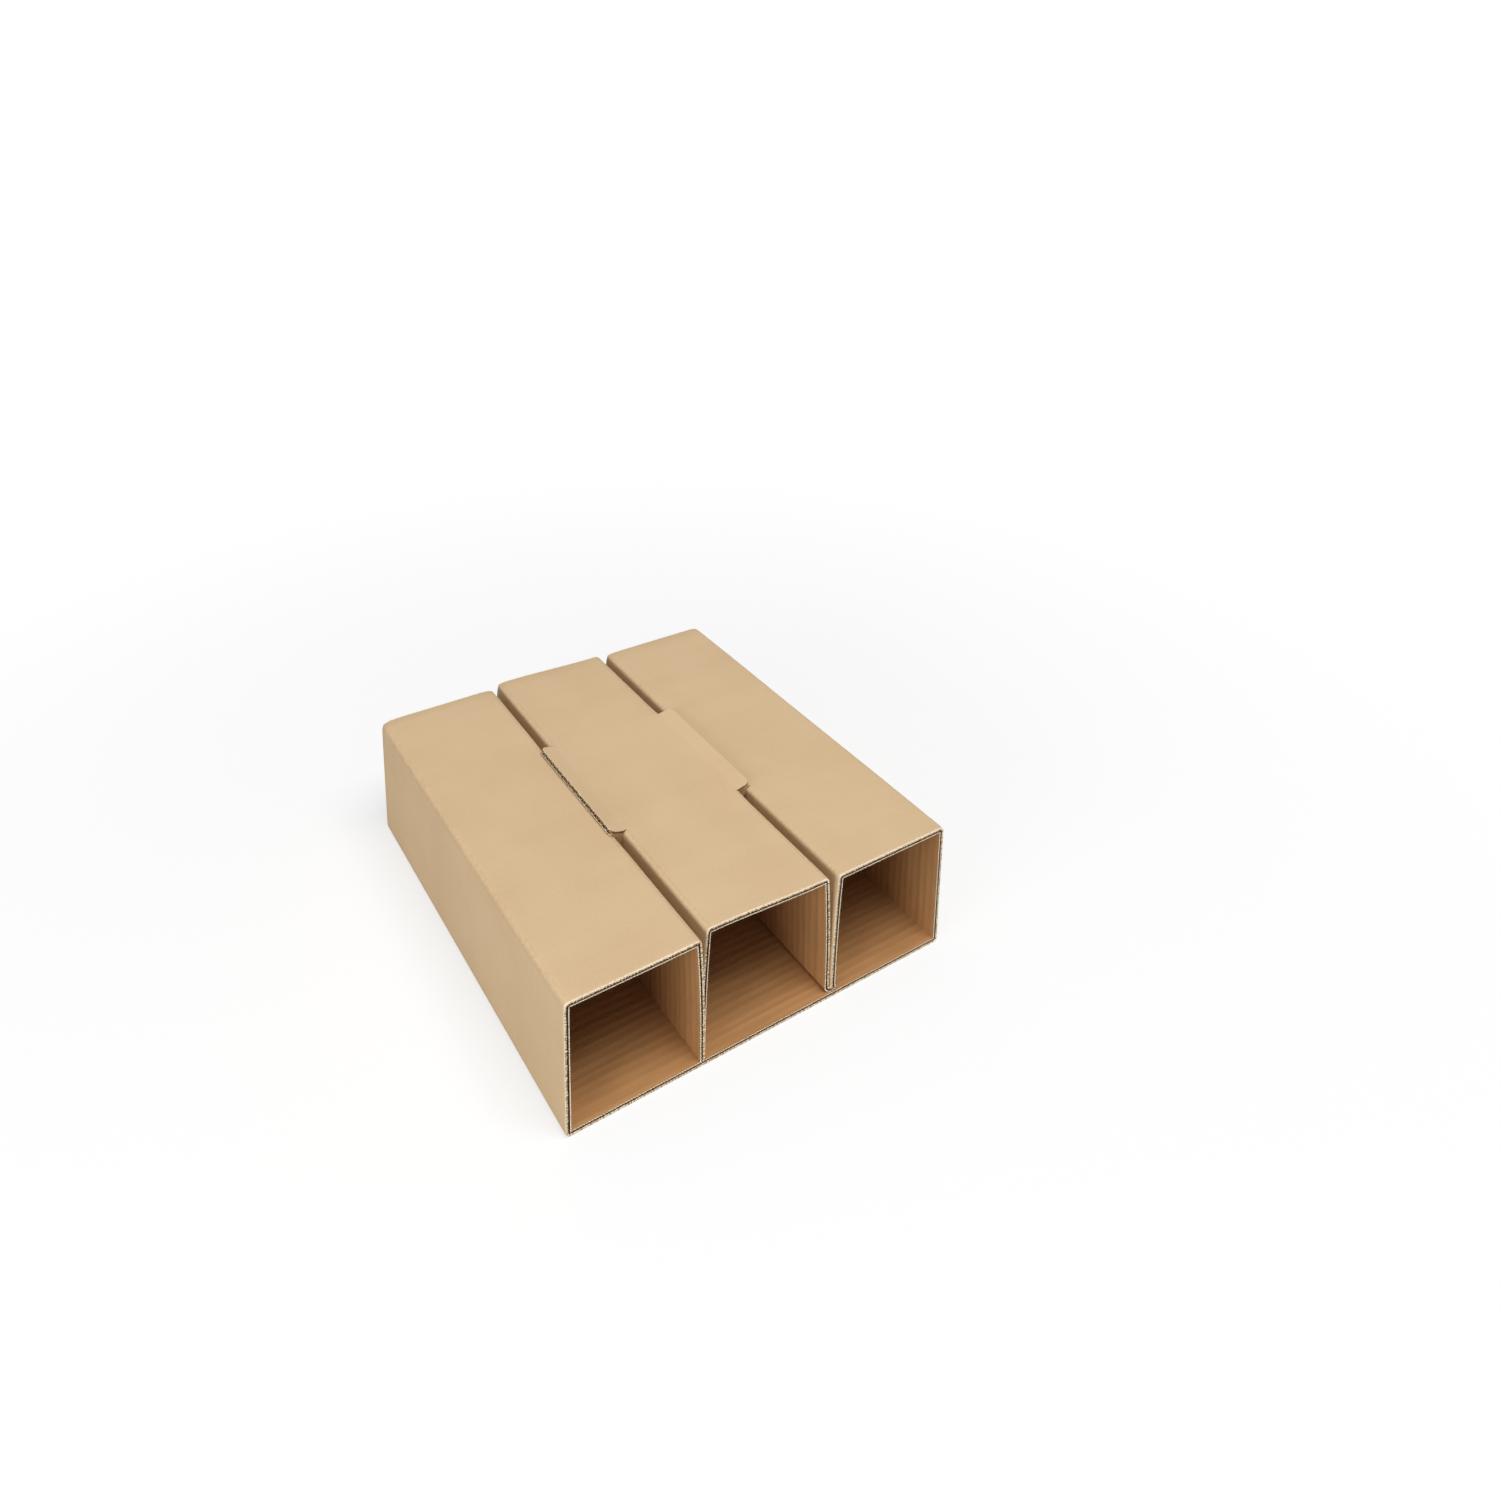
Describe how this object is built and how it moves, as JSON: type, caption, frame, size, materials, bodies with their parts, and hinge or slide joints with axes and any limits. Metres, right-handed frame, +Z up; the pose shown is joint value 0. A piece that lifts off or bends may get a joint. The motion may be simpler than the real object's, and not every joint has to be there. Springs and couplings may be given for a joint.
{
  "type": "bottle shipping box",
  "caption": "Open-ended shipping box of corrugated board, one die-cut sheet folded to and fro into side-by-side tubes that hold bottles lying down.",
  "frame": {"origin": "middle of the underside: centre of the bounding box at its bottom", "axes": "+X across the tubes, +Y along the tubes away from the viewer, +Z up"},
  "size_m": [0.333, 0.3886, 0.1112],
  "materials": {
    "kraft_board": "matte kraft paper"
  },
  "bodies": {
    "root": {"folded_board": "kraft_board"}
  },
  "joints": []
}
